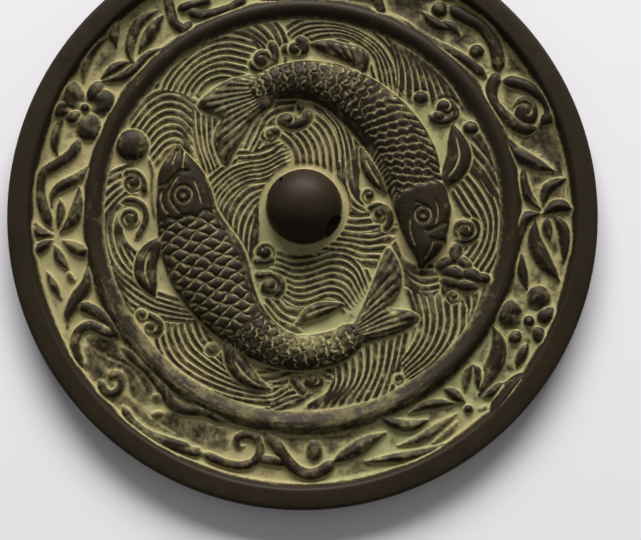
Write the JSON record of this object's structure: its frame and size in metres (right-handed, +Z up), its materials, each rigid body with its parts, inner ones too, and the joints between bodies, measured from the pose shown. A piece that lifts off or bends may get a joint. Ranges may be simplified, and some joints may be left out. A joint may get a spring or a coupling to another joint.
{
  "type": "bronze mirror",
  "caption": "Round cast bronze mirror with a plain rim, a border of flowers and leaves, and two carp in waves round a domed knob pierced for a cord.",
  "frame": {"origin": "centre of the flat mirror face, which lies on the table", "axes": "+X along the cord hole through the knob, +Z up from the carved side"},
  "size_m": [0.15, 0.15, 0.012],
  "materials": {
    "bronze": "cast bronze, dark brown on the raised parts, pale olive patina in the hollows, satin"
  },
  "bodies": {
    "root": {"mirror": "bronze"}
  },
  "joints": []
}
